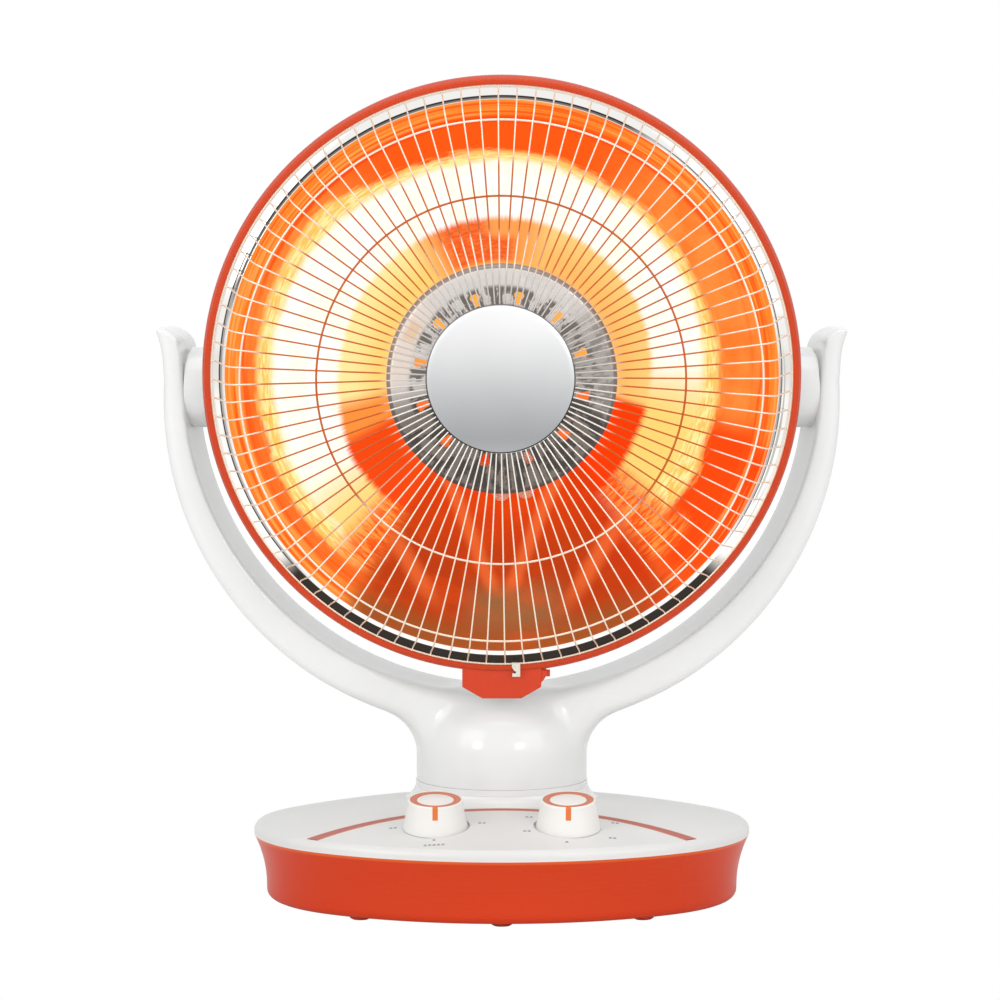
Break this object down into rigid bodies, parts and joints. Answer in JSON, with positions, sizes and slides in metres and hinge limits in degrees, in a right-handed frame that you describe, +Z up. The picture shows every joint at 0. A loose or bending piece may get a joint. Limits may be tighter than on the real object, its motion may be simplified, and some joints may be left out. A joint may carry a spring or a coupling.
{
  "type": "parabolic heater",
  "caption": "Free-standing radiant heater: a round wire-guarded reflector dish in a tilting yoke, on an oval base that swings it, with two control knobs.",
  "frame": {"origin": "centre of the base's footprint, on the floor", "axes": "+Z up, -Y towards the front (the way the dish faces), +X to the viewer's right"},
  "size_m": [0.3962, 0.22, 0.475],
  "materials": {
    "white_plastic": "satin injection moulded",
    "orange_plastic": "satin injection moulded",
    "rust_plastic": "satin injection moulded",
    "inlay_plastic": "matt",
    "knob_plastic": "satin",
    "ring_plastic": "matt",
    "dark_plastic": "matt",
    "nylon": "matt natural nylon",
    "steel": "zinc plated",
    "iron": "rough cast",
    "chrome": "bright plated wire",
    "disc_steel": "polished",
    "dish_aluminium": "bright reflector sheet",
    "shield_steel": "bright, heat stained",
    "quartz": "clear quartz",
    "coil": "resistance wire",
    "ceramic": "glazed ceramic",
    "foot_rubber": "soft rubber"
  },
  "bodies": {
    "base": {"base_housing": "rust_plastic", "base_deck": "white_plastic", "deck_inlay": "inlay_plastic", "swivel_collar": "white_plastic", "counterweight": "iron", "rubber_feet": "foot_rubber", "base_screws": "steel", "cord_gland": "dark_plastic", "terminal_block": "nylon", "power_switch": "dark_plastic", "mode_switch": "dark_plastic", "switch_nuts": "steel", "swing_motor": "steel", "motor_screws": "steel", "tip_switch": "dark_plastic", "thrust_washer": "nylon"},
    "plunger": {"tip_plunger": "dark_plastic", "plunger_spring": "steel"},
    "left_knob": {"knob_left": "knob_plastic", "knob_left_insert": "ring_plastic", "stem_left": "steel"},
    "right_knob": {"knob_right": "knob_plastic", "knob_right_insert": "ring_plastic", "stem_right": "steel"},
    "pinion": {"drive_pinion": "nylon"},
    "yoke": {"swivel_plate": "steel", "sector_gear": "nylon", "shaft_retainer": "steel", "yoke_front": "white_plastic", "yoke_rear": "white_plastic", "yoke_screws": "steel", "pivot_bosses": "white_plastic", "pivot_pins": "steel", "friction_washers": "dark_plastic"},
    "head": {"rear_shell": "white_plastic", "hoop": "orange_plastic", "hoop_block": "orange_plastic", "hoop_screw": "steel", "reflector": "dish_aluminium", "pivot_hubs": "white_plastic", "hub_screws": "steel", "element_post": "steel", "tube_bracket": "steel", "quartz_tube": "quartz", "heating_coil": "coil", "ceramic_sockets": "ceramic", "shield": "shield_steel", "shield_screw": "steel", "thermal_cutout": "dark_plastic", "rear_cap": "white_plastic", "cap_screws": "steel", "grille_spokes": "chrome", "grille_mid_ring": "chrome", "grille_outer_ring": "chrome", "grille_rim_wire": "chrome", "grille_disc": "disc_steel", "grille_back_plate": "steel", "grille_tab": "steel"}
  },
  "joints": [
    {"name": "swing", "type": "hinge", "parent": "base", "child": "yoke", "pos_m": [0, 0.02, 0.068], "axis": [0, 0, 1], "range_deg": [-40, 40]},
    {"name": "pinion_spin", "type": "hinge", "parent": "base", "child": "pinion", "pos_m": [0, 0.074, 0.035], "axis": [0, 0, 1], "range_deg": [-200, 200]},
    {"name": "tilt", "type": "hinge", "parent": "yoke", "child": "head", "pos_m": [0, 0.02, 0.294], "axis": [-1, 0, 0], "range_deg": [-2, 30]},
    {"name": "left_turn", "type": "hinge", "parent": "base", "child": "left_knob", "pos_m": [-0.0375, -0.068, 0.0533], "axis": [0, -0.1655, 0.9862], "range_deg": [-75, 75]},
    {"name": "right_turn", "type": "hinge", "parent": "base", "child": "right_knob", "pos_m": [0.0375, -0.068, 0.0533], "axis": [0, -0.1655, 0.9862], "range_deg": [-120, 120]},
    {"name": "tip_press", "type": "slide", "parent": "base", "child": "plunger", "axis": [0, 0, -1], "range_m": [0, 0.004], "stiffness_N_per_m": 60, "springref_m": 0.012, "deforming": ["plunger_spring"]}
  ],
  "couplings": [
    {"joint": "pinion_spin", "follows": "swing", "ratio": -5}
  ]
}
